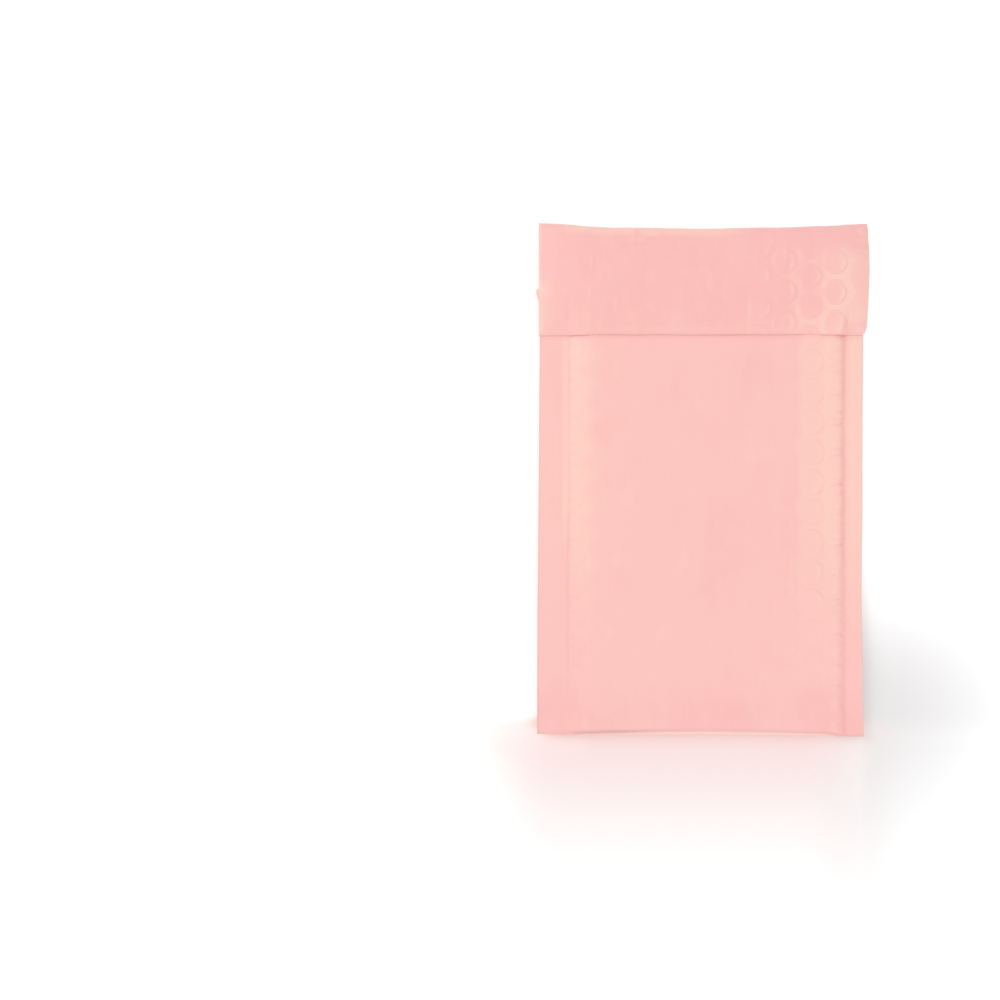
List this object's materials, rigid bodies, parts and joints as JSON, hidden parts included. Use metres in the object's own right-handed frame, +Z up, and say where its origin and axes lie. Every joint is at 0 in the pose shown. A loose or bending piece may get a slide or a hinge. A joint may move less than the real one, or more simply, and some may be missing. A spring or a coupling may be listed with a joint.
{
  "type": "padded envelope",
  "caption": "Closed padded mailing envelope of bubble-lined pink film, folded at both ends, welded down both sides, its flap glued over the front.",
  "frame": {"origin": "under the middle of the envelope, on the surface it lies on", "axes": "+Y towards the folded end that the flap hangs from, +Z up out of the front, +X across the envelope to the right when the flap is at the top"},
  "size_m": [0.1302, 0.2, 0.0099],
  "materials": {
    "pink_film": "satin polyethylene film"
  },
  "bodies": {
    "root": {"padded_envelope": "pink_film"}
  },
  "joints": []
}
